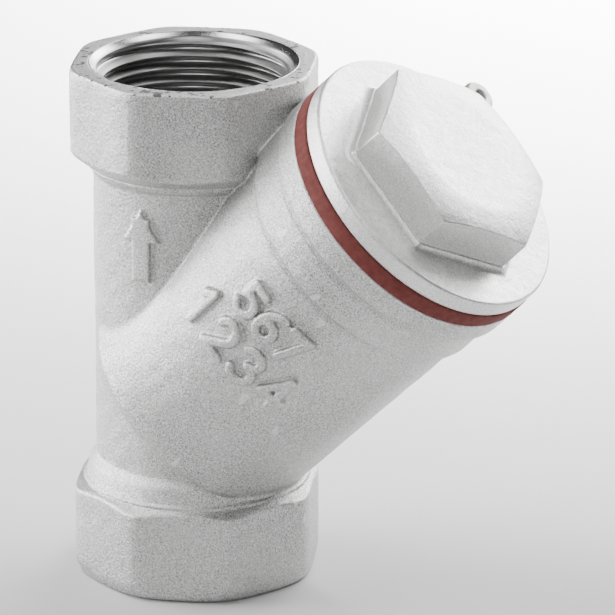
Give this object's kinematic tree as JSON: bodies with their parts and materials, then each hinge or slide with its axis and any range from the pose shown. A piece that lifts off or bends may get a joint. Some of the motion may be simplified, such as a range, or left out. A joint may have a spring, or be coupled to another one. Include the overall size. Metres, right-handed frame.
{
  "type": "basket strainer",
  "caption": "Cast Y-pattern strainer with threaded octagonal ends, a lined perforated basket in its branch, a flat gasket and a hexagon-headed screw cap.",
  "frame": {"origin": "centre of the inlet end face, on the axis of the run and of the inlet thread", "axes": "+Z along the run from the inlet to the outlet, the way the flow goes; the branch leans out towards +X in the XZ plane"},
  "size_m": [0.0673, 0.0441, 0.074],
  "materials": {
    "cast_steel": "sand-blasted casting",
    "cast_steel_cap": "sand-blasted casting",
    "gasket_rubber": "matt pressed fibre and rubber sheet",
    "screen_steel": "rolled perforated sheet",
    "mesh_steel": "woven wire cloth",
    "ring_steel": "pressed sheet"
  },
  "bodies": {
    "casting": {"strainer_body": "cast_steel"},
    "basket": {"screen": "screen_steel", "mesh_liner": "mesh_steel", "seat_end_ring": "ring_steel", "cap_end_ring": "ring_steel"},
    "seal": {"gasket": "gasket_rubber"},
    "cover": {"cap": "cast_steel_cap"}
  },
  "joints": [
    {"name": "basket_pull", "type": "slide", "parent": "casting", "child": "basket", "axis": [0.7071, 0, 0.7071], "range_m": [0, 0.05]},
    {"name": "cap_travel", "type": "slide", "parent": "basket", "child": "seal", "axis": [0.7071, 0, 0.7071], "range_m": [0, 0.009]},
    {"name": "cap_turn", "type": "hinge", "parent": "seal", "child": "cover", "pos_m": [0, 0, 0.02356], "axis": [0.7071, 0, 0.7071], "range_deg": [0, 2160]}
  ],
  "couplings": [
    {"joint": "cap_travel", "follows": "cap_turn", "m_per_rad": 0.00023873}
  ]
}
